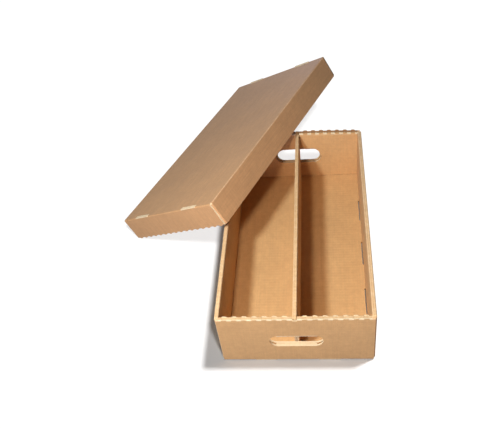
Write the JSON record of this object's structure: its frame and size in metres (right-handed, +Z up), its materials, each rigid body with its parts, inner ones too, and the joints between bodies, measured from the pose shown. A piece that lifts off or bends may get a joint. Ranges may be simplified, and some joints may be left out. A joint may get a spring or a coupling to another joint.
{
  "type": "cd mailer box",
  "caption": "Open corrugated box for disc cases with rolled-over walls, hand holes, a lengthwise divider and a lift-off lid leaning on one corner.",
  "frame": {"origin": "centre of the tray's underside, on the table", "axes": "+X across the tray to the right, +Y along the tray away from the viewer, +Z up"},
  "size_m": [0.5953, 0.9111, 0.2218],
  "materials": {
    "kraft_board": "matt brown kraft, with faint flute lines and paler cut edges"
  },
  "bodies": {
    "root": {"tray": "kraft_board", "divider": "kraft_board", "lid": "kraft_board"}
  },
  "joints": []
}
